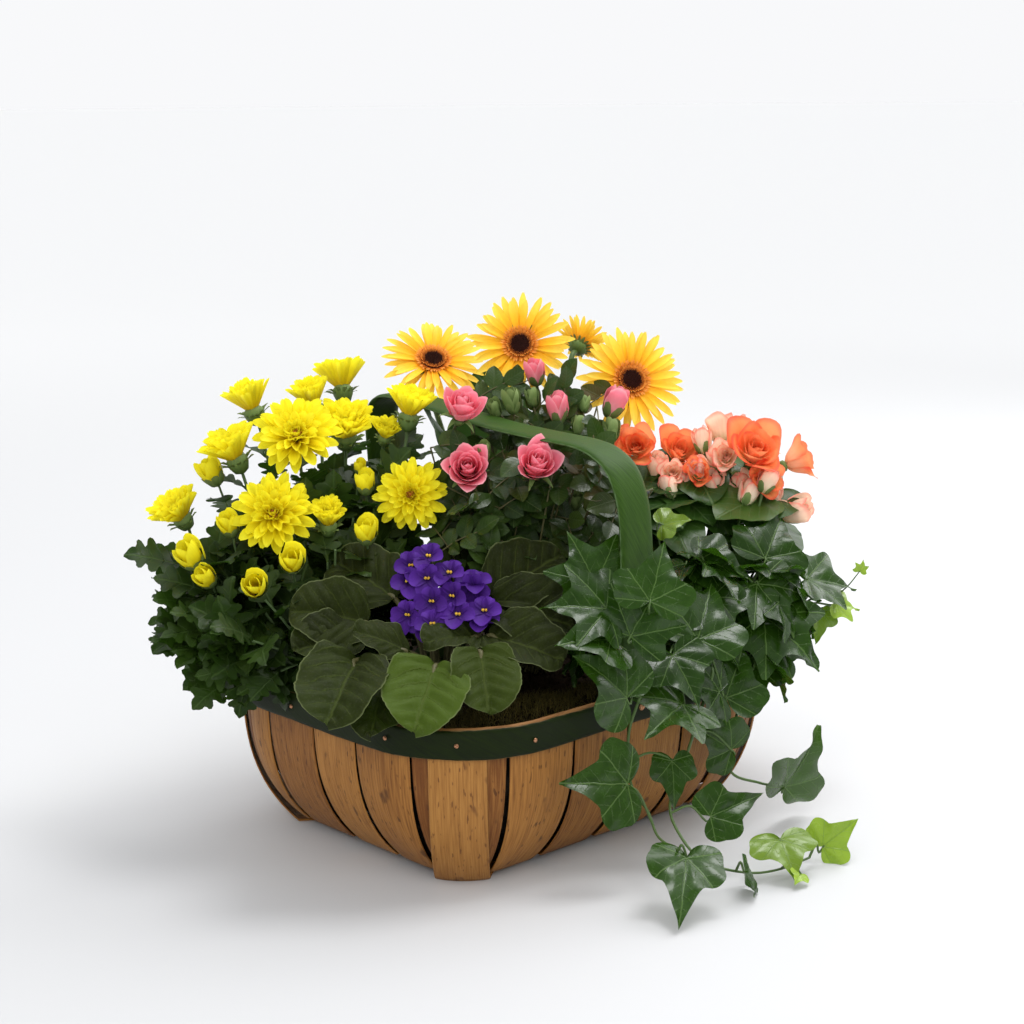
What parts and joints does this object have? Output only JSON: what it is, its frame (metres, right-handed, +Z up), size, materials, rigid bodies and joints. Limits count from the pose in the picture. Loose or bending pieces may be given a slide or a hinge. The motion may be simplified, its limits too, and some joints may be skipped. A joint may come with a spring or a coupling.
{
  "type": "flower basket arrangement",
  "caption": "Woven splint basket with a green rim and fixed arched handle, planted with yellow, pink, coral and purple flowering plants and ivy that trails over the rim onto the surface.",
  "frame": {"origin": "on the table, under the middle of the basket's floor", "axes": "+Z up; +X along the basket's long side; the handle arches over the basket along Y. The picture looks from -X, -Y."},
  "size_m": [0.4156, 0.3965, 0.3432],
  "materials": {
    "splint": "split wood with a clear satin stain",
    "corner_splint": "split wood with a clear satin stain, a shade darker",
    "green_paint": "thin dark green paint over bent wood, satin",
    "hoop_wood": "bare brown wood",
    "rivet": "dull copper",
    "liner": "thin black plastic",
    "soil": "moist crumbly potting soil",
    "moss": "dry matted moss",
    "mum_petal": "soft matt petal, lemon yellow",
    "mum_leaf": "dark matt leaf",
    "gerbera_petal": "soft matt petal, golden yellow",
    "gerbera_leaf": "mid green matt leaf",
    "rose_petal": "soft matt petal, pink",
    "rose_leaf": "dark glossy leaflet",
    "begonia_petal": "soft satin petal, coral orange",
    "begonia_leaf": "dark satin leaf",
    "violet_petal": "velvety petal, deep purple",
    "violet_leaf": "downy quilted leaf",
    "ivy_leaf": "waxy leaf with pale veins"
  },
  "bodies": {
    "root": {"slat_cross_1": "splint", "slat_cross_2": "splint", "slat_cross_3": "splint", "slat_cross_4": "splint", "slat_cross_5": "splint", "slat_length_1": "splint", "slat_length_2": "splint", "slat_length_3": "splint", "slat_length_4": "splint", "slat_corner_1": "corner_splint", "slat_corner_2": "corner_splint", "rim_band": "green_paint", "inner_hoop": "hoop_wood", "handle": "green_paint", "rivet_front_1": "rivet", "rivet_front_2": "rivet", "rivet_back_1": "rivet", "rivet_back_2": "rivet", "liner": "liner", "soil": "soil", "moss": "moss", "mum_flower_1": "mum_petal", "mum_flower_2": "mum_petal", "mum_flower_3": "mum_petal", "mum_flower_4": "mum_petal", "mum_flower_5": "mum_petal", "mum_flower_6": "mum_petal", "mum_flower_7": "mum_petal", "mum_flower_8": "mum_petal", "mum_flower_9": "mum_petal", "mum_flower_10": "mum_petal", "mum_flower_11": "mum_petal", "mum_flower_12": "mum_petal", "mum_foliage": "mum_leaf", "gerbera_flower_1": "gerbera_petal", "gerbera_flower_2": "gerbera_petal", "gerbera_flower_3": "gerbera_petal", "gerbera_flower_4": "gerbera_petal", "gerbera_leaf_1": "gerbera_leaf", "gerbera_leaf_2": "gerbera_leaf", "gerbera_leaf_3": "gerbera_leaf", "rose_flower_1": "rose_petal", "rose_flower_2": "rose_petal", "rose_flower_3": "rose_petal", "rose_flower_4": "rose_petal", "rose_flower_5": "rose_petal", "rose_foliage": "rose_leaf", "begonia_flower_1": "begonia_petal", "begonia_flower_2": "begonia_petal", "begonia_flower_3": "begonia_petal", "begonia_flower_4": "begonia_petal", "begonia_flower_5": "begonia_petal", "begonia_flower_6": "begonia_petal", "begonia_foliage": "begonia_leaf", "violet_flowers": "violet_petal", "violet_leaves": "violet_leaf", "ivy_foliage": "ivy_leaf", "ivy_vine_front": "ivy_leaf", "ivy_vine_long": "ivy_leaf", "ivy_vine_side": "ivy_leaf"}
  },
  "joints": []
}
